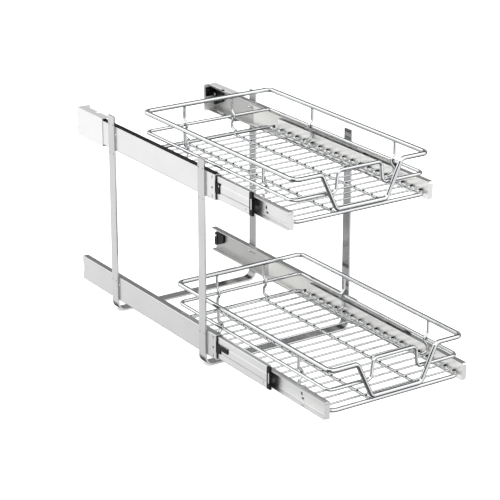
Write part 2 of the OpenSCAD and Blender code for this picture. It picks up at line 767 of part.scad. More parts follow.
module outer_balls(out) {
    ball_rows(outer_ball_u, outer_ball_v, outer_ball_d, rail_y + outer_cage_y - outer_cage_share * out);
}

// cage and balls between intermediate and inner member
module inner_cage(out) {
    cage(mid_back_u + cage_gap, mid_edge_u - cage_gap, inner_ball_u, inner_ball_v, inner_ball_d,
        rail_y + inner_cage_y - inner_cage_share * out);
}

module inner_balls(out) {
    ball_rows(inner_ball_u, inner_ball_v, inner_ball_d, rail_y + inner_cage_y - inner_cage_share * out);
}

// rod bent round the basket at one height: open at the front, where the next piece continues it
module basket_bow(x, front, rear, stub_x, d) {
    bent_rod([[-stub_x, front], [-x, front], [-x, rear], [x, rear], [x, front], [stub_x, front]], corner_r, d);
}

// top rail, with the dip at the front
module top_rail() {
    stub_x = (top_x - corner_r + dip_top_x + dip_r) / 2;
    translate([0, 0, top_z]) basket_bow(top_x, top_y, basket_rear, stub_x, top_d);
    translate([0, top_y, 0]) upright_plane()
        bent_rod([[-stub_x, top_z], [-dip_top_x, top_z], [-dip_bottom_x, dip_z],
            [dip_bottom_x, dip_z], [dip_top_x, top_z], [stub_x, top_z]], dip_r, top_d);
}

// middle rail, with the arch at the front
module middle_rail() {
    stub_x = (mid_rail_x - corner_r + arch_foot_x + arch_r) / 2;
    translate([0, 0, mid_rail_z])
        basket_bow(mid_rail_x, mid_rail_y, basket_rear - mid_rail_in, stub_x, mid_rail_d);
    translate([0, mid_rail_y, 0]) upright_plane()
        bent_rod([[-stub_x, mid_rail_z], [-arch_foot_x, mid_rail_z], [-arch_top_x, arch_z],
            [arch_top_x, arch_z], [arch_foot_x, mid_rail_z], [stub_x, mid_rail_z]], arch_r, mid_rail_d);
}

// closed rod loop round the basket's floor, against the inner members
module floor_loop() {
    translate([0, 0, loop_z])
        bent_rod([[0, loop_y], [-loop_x, loop_y], [-loop_x, basket_rear], [loop_x, basket_rear],
            [loop_x, loop_y], [0, loop_y]], loop_r, loop_d);
}

// cross wires of the floor, from one inner member to the other
module cross_wires() {
    half = inner_face_x - side_gap;
    for (i = [0 : wire_count - 1]) {
        translate([-half, first_wire + i * wire_pitch, wire_z]) rotate([0, 90, 0])
            cylinder(h = 2 * half, d = wire_d);
    }
}

// two long rods under the cross wires, between the loop's front and rear
module long_rods() {
    from = loop_y + loop_d / 2 - 2 * weld;
    to = basket_rear - loop_d / 2 + 2 * weld;
    for (x = [-rod_x, rod_x]) {
        translate([x, from, rod_z]) rotate([-90, 0, 0]) cylinder(h = to - from, d = rod_d);
    }
}

// one upright, drawn in the XZ plane with the top rail's centre line at X = 0 and the basket's inside at -X
module upright() {
    upright_plane()
        bent_rod([[0, upright_top], [0, mid_rail_z + kink_half + kink_rise], [-kink_in, mid_rail_z + kink_half],
            [-kink_in, mid_rail_z - kink_half], [-low_in, mid_rail_z - kink_half - kink_rise],
            [-low_in, toe_z + toe_rise], [-toe_reach, toe_z]], upright_r, upright_d);
}

// six uprights: two on each side and two at the rear
module uprights() {
    for (side = [-1, 1], i = [front_upright_wire, rear_upright_wire]) {
        on_side(side) translate([top_x, first_wire + i * wire_pitch, 0]) upright();
    }
    for (x = [-rear_upright_x, rear_upright_x]) {
        translate([x, basket_rear, 0]) rotate([0, 0, 90]) upright();
    }
}

module front_frame() {
    color("gainsboro") strap_frame(-frame_pitch / 2);
}

module rear_frame() {
    color("gainsboro") strap_frame(frame_pitch / 2);
}

module upper_left_fixed_rail() {
    color("lightgray") in_slide(-1, upper_z) fixed_rail();
}

module upper_right_fixed_rail() {
    color("lightgray") in_slide(1, upper_z) fixed_rail();
}

module lower_left_fixed_rail() {
    color("lightgray") in_slide(-1, lower_z) fixed_rail();
}

module lower_right_fixed_rail() {
    color("lightgray") in_slide(1, lower_z) fixed_rail();
}

module upper_left_rear_sleeve() {
    color("gainsboro") in_slide(-1, upper_z) rear_sleeve();
}

module upper_right_rear_sleeve() {
    color("gainsboro") in_slide(1, upper_z) rear_sleeve();
}

module upper_left_retainer() {
    color("black") in_slide(-1, upper_z) retainer(false);
}

module upper_right_retainer() {
    color("black") in_slide(1, upper_z) retainer(false);
}

module lower_left_retainer() {
    color("black") in_slide(-1, lower_z) retainer(true);
}

module lower_right_retainer() {
    color("black") in_slide(1, lower_z) retainer(true);
}

module upper_left_damper() {
    color("black") in_slide(-1, upper_z) damper(true);
}

module upper_right_damper() {
    color("black") in_slide(1, upper_z) damper(true);
}

module lower_left_damper() {
    color("black") in_slide(-1, lower_z) damper(false);
}

module lower_right_damper() {
    color("black") in_slide(1, lower_z) damper(false);
}

module damper_rivets() {
    for (side = [-1, 1], z = [lower_z, upper_z]) {
        color("white") in_slide(side, z) damper_rivet();
    }
}

module foot_screws() {
    for (side = [-1, 1]) {
        color("white") in_slide(side, upper_z) foot_screw();
    }
}

module upper_left_mid_member() {
    color("lightgray") in_slide(-1, upper_z) mid_member(rail_y - mid_share * upper_out);
}

module upper_right_mid_member() {
    color("lightgray") in_slide(1, upper_z) mid_member(rail_y - mid_share * upper_out);
}

module lower_left_mid_member() {
    color("lightgray") in_slide(-1, lower_z) mid_member(rail_y - mid_share * lower_out);
}

module lower_right_mid_member() {
    color("lightgray") in_slide(1, lower_z) mid_member(rail_y - mid_share * lower_out);
}

module upper_left_bumper() {
    color("black") in_slide(-1, upper_z) bumper(rail_y - mid_share * upper_out);
}

module upper_right_bumper() {
    color("black") in_slide(1, upper_z) bumper(rail_y - mid_share * upper_out);
}

module lower_left_bumper() {
    color("black") in_slide(-1, lower_z) bumper(rail_y - mid_share * lower_out);
}

module lower_right_bumper() {
    color("black") in_slide(1, lower_z) bumper(rail_y - mid_share * lower_out);
}

module upper_left_outer_cage() {
    color("gray") in_slide(-1, upper_z) outer_cage(upper_out);
}

module upper_right_outer_cage() {
    color("gray") in_slide(1, upper_z) outer_cage(upper_out);
}

module lower_left_outer_cage() {
    color("gray") in_slide(-1, lower_z) outer_cage(lower_out);
}

module lower_right_outer_cage() {
    color("gray") in_slide(1, lower_z) outer_cage(lower_out);
}

module upper_left_inner_cage() {
    color("gray") in_slide(-1, upper_z) inner_cage(upper_out);
}

module upper_right_inner_cage() {
    color("gray") in_slide(1, upper_z) inner_cage(upper_out);
}

module lower_left_inner_cage() {
    color("gray") in_slide(-1, lower_z) inner_cage(lower_out);
}

module lower_right_inner_cage() {
    color("gray") in_slide(1, lower_z) inner_cage(lower_out);
}

module upper_left_outer_balls() {
    color("white") in_slide(-1, upper_z) outer_balls(upper_out);
}

module upper_right_outer_balls() {
    color("white") in_slide(1, upper_z) outer_balls(upper_out);
}

module lower_left_outer_balls() {
    color("white") in_slide(-1, lower_z) outer_balls(lower_out);
}

module lower_right_outer_balls() {
    color("white") in_slide(1, lower_z) outer_balls(lower_out);
}

module upper_left_inner_balls() {
    color("white") in_slide(-1, upper_z) inner_balls(upper_out);
}

module upper_right_inner_balls() {
    color("white") in_slide(1, upper_z) inner_balls(upper_out);
}

module lower_left_inner_balls() {
    color("white") in_slide(-1, lower_z) inner_balls(lower_out);
}

module lower_right_inner_balls() {
    color("white") in_slide(1, lower_z) inner_balls(lower_out);
}

module upper_left_inner_member() {
    color("lightgray") in_slide(-1, upper_z) inner_member(upper_front);
}

module upper_right_inner_member() {
    color("lightgray") in_slide(1, upper_z) inner_member(upper_front);
}

module lower_left_inner_member() {
    color("lightgray") in_slide(-1, lower_z) inner_member(lower_front);
}

module lower_right_inner_member() {
    color("lightgray") in_slide(1, lower_z) inner_member(lower_front);
}

module upper_top_rail() {
    color("silver") translate([0, upper_front, upper_z]) top_rail();
}

module upper_middle_rail() {
    color("silver") translate([0, upper_front, upper_z]) middle_rail();
}

module upper_floor_loop() {
    color("silver") translate([0, upper_front, upper_z]) floor_loop();
}

module upper_cross_wires() {
    color("silver") translate([0, upper_front, upper_z]) cross_wires();
}

module upper_long_rods() {
    color("silver") translate([0, upper_front, upper_z]) long_rods();
}

module upper_uprights() {
    color("silver") translate([0, upper_front, upper_z]) uprights();
}

module lower_top_rail() {
    color("silver") translate([0, lower_front, lower_z]) top_rail();
}

module lower_middle_rail() {
    color("silver") translate([0, lower_front, lower_z]) middle_rail();
}

module lower_floor_loop() {
    color("silver") translate([0, lower_front, lower_z]) floor_loop();
}

module lower_cross_wires() {
    color("silver") translate([0, lower_front, lower_z]) cross_wires();
}

module lower_long_rods() {
    color("silver") translate([0, lower_front, lower_z]) long_rods();
}

module lower_uprights() {
    color("silver") translate([0, lower_front, lower_z]) uprights();
}

front_frame();
rear_frame();
upper_left_fixed_rail();
upper_right_fixed_rail();
lower_left_fixed_rail();
lower_right_fixed_rail();
upper_left_rear_sleeve();
upper_right_rear_sleeve();
upper_left_retainer();
upper_right_retainer();
lower_left_retainer();
lower_right_retainer();
upper_left_damper();
upper_right_damper();
lower_left_damper();
lower_right_damper();
damper_rivets();
foot_screws();
upper_left_mid_member();
upper_right_mid_member();
lower_left_mid_member();
lower_right_mid_member();
upper_left_bumper();
upper_right_bumper();
lower_left_bumper();
lower_right_bumper();
upper_left_outer_cage();
upper_right_outer_cage();
lower_left_outer_cage();
lower_right_outer_cage();
upper_left_inner_cage();
upper_right_inner_cage();
lower_left_inner_cage();
lower_right_inner_cage();
upper_left_outer_balls();
upper_right_outer_balls();
lower_left_outer_balls();
lower_right_outer_balls();
upper_left_inner_balls();
upper_right_inner_balls();
lower_left_inner_balls();
lower_right_inner_balls();
upper_left_inner_member();
upper_right_inner_member();
lower_left_inner_member();
lower_right_inner_member();
upper_top_rail();
upper_middle_rail();
upper_floor_loop();
upper_cross_wires();
upper_long_rods();
upper_uprights();
lower_top_rail();
lower_middle_rail();
lower_floor_loop();
lower_cross_wires();
lower_long_rods();
lower_uprights();
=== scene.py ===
# %% [markdown]
# # A chrome pull-out basket on ball slides
#
# The object is a kitchen cabinet organiser. Two flat steel straps are bent to a U and screwed to the
# cabinet floor. They carry four ball slides, and each pair of slides carries a welded wire basket.
# The solids come from the part's CAD source, so every rod, rail and strap already has its true size.
# This lesson dresses them: it gives each piece the surface of its real material, adds what the
# factory leaves behind, such as weld nuggets, and sets up a plain studio round the object.

# %% Load the frame
import math
import random

import bpy
import bmesh
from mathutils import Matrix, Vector


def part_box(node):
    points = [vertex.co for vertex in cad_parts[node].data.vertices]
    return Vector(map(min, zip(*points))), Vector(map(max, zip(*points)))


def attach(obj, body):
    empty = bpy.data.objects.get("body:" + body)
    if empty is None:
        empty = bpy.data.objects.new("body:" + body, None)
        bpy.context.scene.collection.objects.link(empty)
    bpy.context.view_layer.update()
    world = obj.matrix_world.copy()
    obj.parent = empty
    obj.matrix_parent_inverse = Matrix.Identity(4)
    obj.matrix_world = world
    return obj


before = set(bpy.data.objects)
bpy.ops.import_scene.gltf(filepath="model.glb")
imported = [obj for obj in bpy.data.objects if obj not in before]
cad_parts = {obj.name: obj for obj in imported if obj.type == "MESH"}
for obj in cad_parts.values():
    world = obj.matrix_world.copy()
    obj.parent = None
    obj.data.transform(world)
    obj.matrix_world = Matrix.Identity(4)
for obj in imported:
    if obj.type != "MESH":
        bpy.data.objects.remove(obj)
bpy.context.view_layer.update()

# %% [markdown]
# ## Three helpers
#
# Colours are easiest to choose as sRGB hex values, as in any paint program. Blender's shaders work
# in linear light, so one function turns a hex value into linear numbers. A second one adds a shader
# node with its settings and links, and a third starts a material with no nodes in it. Together they
# keep each material short enough to read.

# %% Colour and node helpers
MM = 0.001


def linear(hex_value, alpha=1.0):
    srgb = [int(hex_value[i:i + 2], 16) / 255 for i in (1, 3, 5)]
    return [c / 12.92 if c <= 0.04045 else ((c + 0.055) / 1.055) ** 2.4 for c in srgb] + [alpha]


def add(tree, kind, settings=None, links=None):
    node = tree.nodes.new(kind)
    for key, value in (settings or {}).items():
        if isinstance(key, str) and hasattr(node, key):
            setattr(node, key, value)
        else:
            node.inputs[key].default_value = value
    for key, socket in (links or {}).items():
        tree.links.new(socket, node.inputs[key])
    return node


def new_material(name):
    material = bpy.data.materials.new(name)
    material.use_nodes = True
    material.node_tree.nodes.clear()
    return material, material.node_tree


print("light grey #c8c8c8 in linear light:", [round(c, 3) for c in linear("#c8c8c8")[:3]])

# %% [markdown]
# ## Chrome-plated steel wire
#
# The baskets are drawn steel wire, resistance-welded, polished and plated with nickel and a thin
# layer of chromium. Chromium is a slightly blue, bright metal, and the plate is smooth enough to
# mirror the room. It reflects a little over half the light, which is why chrome looks greyer than
# silver. The wire under it is not perfectly straight: drawing and polishing leave shallow waves,
# which bend the reflections. A noise with waves about 12 mm long gives that. Faint wiping marks,
# about 35 mm wide, change the roughness and the tint a little, so highlights aren't the same
# everywhere.

# %% Chrome on drawn wire
def chrome_plated_wire():
    material, tree = new_material("chrome_plated_wire")
    wave_length, mark_width = 12 * MM, 35 * MM
    place = add(tree, "ShaderNodeTexCoord")
    waves = add(tree, "ShaderNodeTexNoise", {"Scale": 1 / wave_length, "Detail": 2.0, "Roughness": 0.4},
                {"Vector": place.outputs["Object"]})
    wiping = add(tree, "ShaderNodeTexNoise", {"Scale": 1 / mark_width, "Detail": 5.0, "Roughness": 0.6},
                 {"Vector": place.outputs["Object"]})
    rough = add(tree, "ShaderNodeMapRange", {"To Min": 0.05, "To Max": 0.13},
                {"Value": wiping.outputs["Fac"]})
    tint = add(tree, "ShaderNodeMix", {"data_type": "RGBA", 6: linear("#c6c8ca"), 7: linear("#d2d3d3")},
               {0: wiping.outputs["Fac"]})
    bump = add(tree, "ShaderNodeBump", {"Strength": 0.25, "Distance": 0.02 * MM},
               {"Height": waves.outputs["Fac"]})
    metal = add(tree, "ShaderNodeBsdfPrincipled", {"Metallic": 1.0},
                {"Base Color": tint.outputs[2], "Roughness": rough.outputs[0], "Normal": bump.outputs[0]})
    add(tree, "ShaderNodeOutputMaterial", None, {"Surface": metal.outputs[0]})
    return material


wire_finish = chrome_plated_wire()
print("made", wire_finish.name)

# %% [markdown]
# ## Faces that look inwards
#
# Faces that look towards the middle of the frame get a colour of their own, lighter or darker than
# the outside part by part, which is painted light and shade. The mask below finds them: a face
# looks inwards when the sideways part of its normal points against its own side of the part. It
# depends only on the piece itself, so it holds from every view.

# %% Mask for inward faces, for painted light and shade
MASK_STARTS, MASK_FULL = -0.2, -0.6  # sideways part of the normal, counted outwards


def painted_inward_light_mask(tree, place):
    normal = add(tree, "ShaderNodeNewGeometry")
    facing = add(tree, "ShaderNodeSeparateXYZ", None, {0: normal.outputs["True Normal"]})
    where = add(tree, "ShaderNodeSeparateXYZ", None, {0: place.outputs["Object"]})
    side = add(tree, "ShaderNodeMath", {"operation": "SIGN"}, {0: where.outputs[0]})
    outward = add(tree, "ShaderNodeMath", {"operation": "MULTIPLY"},
                  {0: facing.outputs[0], 1: side.outputs[0]})
    return add(tree, "ShaderNodeMapRange", {"From Min": MASK_STARTS, "From Max": MASK_FULL},
               {"Value": outward.outputs[0]})


print("an inward face has a sideways normal against its side, from", MASK_STARTS, "to", MASK_FULL)

# %% [markdown]
# ## A painted dark reflection on one rail
#
# One slide rail has a dark strip along its top flange: a painted dark reflection, not a piece of its
# own. It is a mask on the rail's material: a face belongs to the strip when it looks up and lies
# above a height that is taken from the rail's own box.

# %% Mask for the painted dark reflection
STRIP_LOOKS_UP = 0.6  # least upward part of the normal
STRIP_DEPTH = 2 * MM
STRIP_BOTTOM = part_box("upper_left_fixed_rail")[1].z - STRIP_DEPTH


def painted_reflection_mask(tree, place):
    normal = add(tree, "ShaderNodeNewGeometry")
    facing = add(tree, "ShaderNodeSeparateXYZ", None, {0: normal.outputs["True Normal"]})
    up = add(tree, "ShaderNodeMath", {"operation": "GREATER_THAN", 1: STRIP_LOOKS_UP},
             {0: facing.outputs[2]})
    where = add(tree, "ShaderNodeSeparateXYZ", None, {0: place.outputs["Object"]})
    high = add(tree, "ShaderNodeMath", {"operation": "GREATER_THAN", 1: STRIP_BOTTOM},
               {0: where.outputs[2]})
    return add(tree, "ShaderNodeMath", {"operation": "MULTIPLY"}, {0: up.outputs[0], 1: high.outputs[0]})


print("the dark strip starts", round(STRIP_BOTTOM / MM, 1), "mm above the floor")

# %% [markdown]
# ## Bright zinc on rolled slide steel
#
# The slide members are cold-rolled strip, roll-formed into channels and plated with bright zinc.
# Rolling leaves a very fine grain along the strip, so the surface mirrors less sharply than the
# wire, and a little anisotropy spreads its highlights. The real grain is far finer than a pixel, so
# here it is drawn as streaks about 1.5 mm apart and 60 mm long, only just visible. Clouds about
# 45 mm wide, from the bath, change the roughness. Where grease or a whitish bloom lies on the zinc
# it mirrors less and scatters more, so the metallic value falls: on inward faces by the haze, and
# elsewhere to the value of mirror.
# Faces that look inwards also get a colour of their own, lighter or darker than the outside: that colour is
# painted light and shade.

# %% Zinc on rolled strip
def zinc_plated(name, bright="#dadad8", dull="#cccdce", inward_painted_light="#e4e4e1",
                haze=0.5, mirror=1.0, painted_dark_reflection=False):
    material, tree = new_material(name)
    grain_gap, grain_length, cloud_width = 1.5 * MM, 60 * MM, 45 * MM
    place = add(tree, "ShaderNodeTexCoord")
    stretch = add(tree, "ShaderNodeMapping", {"Scale": (1 / grain_gap, 1 / grain_length, 1 / grain_gap)},
                  {"Vector": place.outputs["Object"]})
    grain = add(tree, "ShaderNodeTexNoise", {"Scale": 1.0, "Detail": 3.0, "Roughness": 0.55},
                {"Vector": stretch.outputs[0]})
    cloud = add(tree, "ShaderNodeTexNoise", {"Scale": 1 / cloud_width, "Detail": 3.0, "Roughness": 0.5},
                {"Vector": place.outputs["Object"]})
    rough = add(tree, "ShaderNodeMapRange", {"To Min": 0.24, "To Max": 0.36},
                {"Value": cloud.outputs["Fac"]})
    outside = add(tree, "ShaderNodeMix", {"data_type": "RGBA", 6: linear(dull), 7: linear(bright)},
                  {0: grain.outputs["Fac"]})
    # painted light and shade: faces that look inwards take their own lighter or darker colour
    inner = painted_inward_light_mask(tree, place)
    colour = add(tree, "ShaderNodeMix", {"data_type": "RGBA", 7: linear(inward_painted_light)},
                 {0: inner.outputs[0], 6: outside.outputs[2]})
    shiny = add(tree, "ShaderNodeMapRange", {"To Min": mirror, "To Max": 1.0 - haze},
                {"Value": inner.outputs[0]})
    surface = {"Base Color": colour.outputs[2], "Metallic": shiny.outputs[0]}
    # painted reflection: a near-black strip on the top flange stands in for a dark reflection
    if painted_dark_reflection:
        strip = painted_reflection_mask(tree, place)
        dark = add(tree, "ShaderNodeMix", {"data_type": "RGBA", 7: linear("#090909")},
                   {0: strip.outputs[0], 6: colour.outputs[2]})
        bare = add(tree, "ShaderNodeMath", {"operation": "SUBTRACT"},
                   {0: shiny.outputs[0], 1: strip.outputs[0]})
        gloss = add(tree, "ShaderNodeMapRange", {"To Min": 0.05, "To Max": 0.5},
                    {"Value": bare.outputs[0]})
        surface = {"Base Color": dark.outputs[2], "Metallic": bare.outputs[0],
                   "Specular IOR Level": gloss.outputs[0]}
    bump = add(tree, "ShaderNodeBump", {"Strength": 0.15, "Distance": 0.01 * MM},
               {"Height": grain.outputs["Fac"]})
    metal = add(tree, "ShaderNodeBsdfPrincipled", {"Anisotropic": 0.25},
                {"Roughness": rough.outputs[0], "Normal": bump.outputs[0], **surface})
    add(tree, "ShaderNodeOutputMaterial", None, {"Surface": metal.outputs[0]})
    return material


# the colours given for inward faces below are painted light and shade
slide_finish = zinc_plated("zinc_plated_slide_steel")
rail_finish = zinc_plated("zinc_plated_rail_steel", "#cbcbc9", "#bfc0c1", "#a6a6a4", haze=0.4)
greased_finish = zinc_plated("greased_slide_steel", inward_painted_light="#d0d0cd", haze=0.6)
sleeve_finish = zinc_plated("zinc_plated_sleeve_sheet", "#dededc", "#d2d3d4", "#ececea",
                            haze=0.85, mirror=0.55)
painted_reflection_rail_finish = zinc_plated("zinc_plated_rail_with_painted_dark_reflection", "#dadad8", "#cfd0d1", "#a6a6a4",
                              haze=0.4, painted_dark_reflection=True)
zinc_finishes = (slide_finish, rail_finish, greased_finish, sleeve_finish, painted_reflection_rail_finish)
print("made", *(finish.name for finish in zinc_finishes))

# %% [markdown]
# ## Nickel-plated strap
#
# The two U frames are flat bar, 20 mm wide and 3 mm thick, bent cold and plated with nickel. The bar
# isn't polished first, so the plate is a little greyer and softer than on the wire, with fine
# random scuffs. The scuffs are a distorted noise of about 4 mm, and clouds of 60 mm shade the colour.
# Faces that look inwards are painted darker, which is painted shade.

# %% Nickel on bent strap
def nickel_plated_strap():
    material, tree = new_material("nickel_plated_strap_steel")
    scuff_width, cloud_width = 4 * MM, 60 * MM
    place = add(tree, "ShaderNodeTexCoord")
    scuffs = add(tree, "ShaderNodeTexNoise",
                 {"Scale": 1 / scuff_width, "Detail": 6.0, "Roughness": 0.7, "Distortion": 0.6},
                 {"Vector": place.outputs["Object"]})
    cloud = add(tree, "ShaderNodeTexNoise", {"Scale": 1 / cloud_width, "Detail": 2.0},
                {"Vector": place.outputs["Object"]})
    rough = add(tree, "ShaderNodeMapRange",
                {"From Min": 0.3, "From Max": 0.7, "To Min": 0.14, "To Max": 0.26},
                {"Value": scuffs.outputs["Fac"]})
    outside = add(tree, "ShaderNodeMix", {"data_type": "RGBA", 6: linear("#aeafb0"), 7: linear("#c0c0be")},
                  {0: cloud.outputs["Fac"]})
    # painted shade: faces of the strap that look inwards are darker
    inner = painted_inward_light_mask(tree, place)
    colour = add(tree, "ShaderNodeMix", {"data_type": "RGBA", 7: linear("#8e8f90")},
                 {0: inner.outputs[0], 6: outside.outputs[2]})
    bump = add(tree, "ShaderNodeBump", {"Strength": 0.1, "Distance": 0.02 * MM},
               {"Height": scuffs.outputs["Fac"]})
    metal = add(tree, "ShaderNodeBsdfPrincipled", {"Metallic": 1.0},
                {"Base Color": colour.outputs[2], "Roughness": rough.outputs[0], "Normal": bump.outputs[0]})
    add(tree, "ShaderNodeOutputMaterial", None, {"Surface": metal.outputs[0]})
    return material


strap_finish = nickel_plated_strap()
print("made", strap_finish.name)

# %% [markdown]
# ## Moulded black acetal
#
# The retainers, bumpers and dampers are injection-moulded acetal, a tough, slippery plastic. The
# tool is spark-eroded, which leaves a fine pebble texture of about 0.4 mm and breaks the gloss.
# Acetal's refractive index is 1.48, so a smooth face would mirror four hundredths of the light. The
# pebbles scatter much of that, and the specular level is set lower. Dust in patches of 6 mm keeps
# the black from being pure.

# %% Black acetal
def moulded_black_acetal():
    material, tree = new_material("moulded_black_acetal")
    pebble_width, dust_width = 0.4 * MM, 6 * MM
    place = add(tree, "ShaderNodeTexCoord")
    pebble = add(tree, "ShaderNodeTexVoronoi", {"Scale": 1 / pebble_width},
                 {"Vector": place.outputs["Object"]})
    dust = add(tree, "ShaderNodeTexNoise", {"Scale": 1 / dust_width, "Detail": 4.0},
               {"Vector": place.outputs["Object"]})
    colour = add(tree, "ShaderNodeMix", {"data_type": "RGBA", 6: linear("#050505"), 7: linear("#0c0c0c")},
                 {0: dust.outputs["Fac"]})
    rough = add(tree, "ShaderNodeMapRange", {"To Min": 0.35, "To Max": 0.5},
                {"Value": dust.outputs["Fac"]})
    bump = add(tree, "ShaderNodeBump", {"Strength": 0.3, "Distance": 0.02 * MM},
               {"Height": pebble.outputs["Distance"]})
    plastic = add(tree, "ShaderNodeBsdfPrincipled", {"IOR": 1.48, "Specular IOR Level": 0.2},
                  {"Base Color": colour.outputs[2], "Roughness": rough.outputs[0],
                   "Normal": bump.outputs[0]})
    add(tree, "ShaderNodeOutputMaterial", None, {"Surface": plastic.outputs[0]})
    return material


plastic_finish = moulded_black_acetal()
print("made", plastic_finish.name)

# %% [markdown]
# ## Bearing balls and cages
#
# The balls are chrome bearing steel, ground and lapped, so they are the shiniest surface here, with
# only a faint haze in spots of 2 mm. The cages are thin strip, pressed and left with its mill
# finish, a dull grey that lets the balls stand out. A trace of grease darkens the strip in patches
# about 8 mm wide.

# %% Ball and cage steel
def lapped_ball_steel():
    material, tree = new_material("lapped_ball_steel")
    haze_width = 2 * MM
    place = add(tree, "ShaderNodeTexCoord")
    haze = add(tree, "ShaderNodeTexNoise", {"Scale": 1 / haze_width, "Detail": 2.0},
               {"Vector": place.outputs["Object"]})
    rough = add(tree, "ShaderNodeMapRange", {"To Min": 0.02, "To Max": 0.07},
                {"Value": haze.outputs["Fac"]})
    colour = add(tree, "ShaderNodeMix", {"data_type": "RGBA", 6: linear("#dddfe1"), 7: linear("#ececec")},
                 {0: haze.outputs["Fac"]})
    metal = add(tree, "ShaderNodeBsdfPrincipled", {"Metallic": 1.0},
                {"Base Color": colour.outputs[2], "Roughness": rough.outputs[0]})
    add(tree, "ShaderNodeOutputMaterial", None, {"Surface": metal.outputs[0]})
    return material


def mill_finish_cage_strip():
    material, tree = new_material("mill_finish_cage_strip")
    grease_width = 8 * MM
    place = add(tree, "ShaderNodeTexCoord")
    grease = add(tree, "ShaderNodeTexNoise", {"Scale": 1 / grease_width, "Detail": 3.0},
                 {"Vector": place.outputs["Object"]})
    rough = add(tree, "ShaderNodeMapRange", {"To Min": 0.4, "To Max": 0.6},
                {"Value": grease.outputs["Fac"]})
    colour = add(tree, "ShaderNodeMix", {"data_type": "RGBA", 6: linear("#b4b5b6"), 7: linear("#d6d6d6")},
                 {0: grease.outputs["Fac"]})
    metal = add(tree, "ShaderNodeBsdfPrincipled", {"Metallic": 0.4},
                {"Base Color": colour.outputs[2], "Roughness": rough.outputs[0]})
    add(tree, "ShaderNodeOutputMaterial", None, {"Surface": metal.outputs[0]})
    return material


ball_finish = lapped_ball_steel()
cage_finish = mill_finish_cage_strip()
print("made", ball_finish.name, cage_finish.name)

# %% [markdown]
# ## Which piece gets which finish
#
# Node names end in what the piece is, so the end of the name chooses the finish. A list of endings
# is easier to check than a material on each of the 58 nodes, and no piece can be forgotten: the
# loop stops with an error if a node has no finish. One rail alone has the painted dark reflection.

# %% Put the finishes on
FINISH_BY_ENDING = [
    ("front_frame", strap_finish), ("rear_frame", strap_finish),
    ("fixed_rail", rail_finish), ("rear_sleeve", sleeve_finish),
    ("retainer", plastic_finish), ("damper", plastic_finish), ("bumper", plastic_finish),
    ("damper_rivets", slide_finish), ("foot_screws", ball_finish),
    ("balls", ball_finish), ("cage", cage_finish),
    ("mid_member", greased_finish), ("inner_member", slide_finish),
    ("top_rail", wire_finish), ("middle_rail", wire_finish), ("floor_loop", wire_finish),
    ("cross_wires", wire_finish), ("long_rods", wire_finish), ("uprights", wire_finish),
]
for name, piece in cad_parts.items():
    finish = next(f for ending, f in FINISH_BY_ENDING if name.endswith(ending))
    # this rail carries the painted dark reflection on its top flange
    if name == "upper_left_fixed_rail":
        finish = painted_reflection_rail_finish
    piece.data.materials.clear()
    piece.data.materials.append(finish)
print("finished", len(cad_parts), "pieces")

# %% [markdown]
# ## Weld nuggets and painted shade
#
# Two crossing wires are joined by pressing them together and passing a current. The steel melts
# where they touch, and a little of it is squeezed out beside the joint. Here the beads are near
# black and large, so they stand both for that weld metal and for the shade in the joints between
# wires, rods and slides: partly real, partly painted shade. Scale in flecks of 1.2 mm gives them
# their rough skin.

# %% Dark, rough weld metal, partly painted shade
def weld_metal_and_painted_shade():
    material, tree = new_material("weld_metal_and_painted_shade")
    fleck_width = 1.2 * MM
    place = add(tree, "ShaderNodeTexCoord")
    scale = add(tree, "ShaderNodeTexNoise", {"Scale": 1 / fleck_width, "Detail": 4.0},
                {"Vector": place.outputs["Object"]})
    # near black: partly weld metal, partly painted shade in the joints
    colour = add(tree, "ShaderNodeMix", {"data_type": "RGBA", 6: linear("#0c0c0c"), 7: linear("#3c3c3b")},
                 {0: scale.outputs["Fac"]})
    rough = add(tree, "ShaderNodeMapRange", {"To Min": 0.45, "To Max": 0.7},
                {"Value": scale.outputs["Fac"]})
    bump = add(tree, "ShaderNodeBump", {"Strength": 0.5, "Distance": 0.1 * MM},
               {"Height": scale.outputs["Fac"]})
    metal = add(tree, "ShaderNodeBsdfPrincipled", {"Metallic": 1.0},
                {"Base Color": colour.outputs[2], "Roughness": rough.outputs[0], "Normal": bump.outputs[0]})
    add(tree, "ShaderNodeOutputMaterial", None, {"Surface": metal.outputs[0]})
    return material


weld_and_shade_finish = weld_metal_and_painted_shade()
print("made", weld_and_shade_finish.name)

# %% [markdown]
# ## The shape of one bead
#
# A bead could be a squashed sphere, but then all of them would look turned on a lathe. Here each is
# a closed shell of its own: rings of points round a drop, each point pulled in by a random share.
# The random numbers come from a fixed seed, so the beads differ from each other but are the same
# in every run.

# %% One bead
BEAD_RINGS, BEAD_SPOKES = 5, 10
LEAST_SHARE = 0.65  # of a bead's half width that a point keeps


def add_bead(shape, centre, half, chance):
    top = shape.verts.new(Vector(centre) + Vector((0, 0, half[2])))
    below = shape.verts.new(Vector(centre) - Vector((0, 0, half[2])))
    loops = []
    for ring in range(1, BEAD_RINGS + 1):
        tilt = math.pi * ring / (BEAD_RINGS + 1)
        loop = []
        for spoke in range(BEAD_SPOKES):
            turn = 2 * math.pi * spoke / BEAD_SPOKES
            share = chance.uniform(LEAST_SHARE, 1.0)
            loop.append(shape.verts.new((centre[0] + half[0] * share * math.sin(tilt) * math.cos(turn),
                                         centre[1] + half[1] * share * math.sin(tilt) * math.sin(turn),
                                         centre[2] + half[2] * math.cos(tilt))))
        loops.append(loop)
    for i in range(BEAD_SPOKES):
        j = (i + 1) % BEAD_SPOKES
        shape.faces.new((top, loops[0][i], loops[0][j]))
        shape.faces.new((below, loops[-1][j], loops[-1][i]))
        for upper, lower in zip(loops, loops[1:]):
            shape.faces.new((upper[i], lower[i], lower[j], upper[j]))


print("a bead has", 2 + BEAD_RINGS * BEAD_SPOKES, "points")

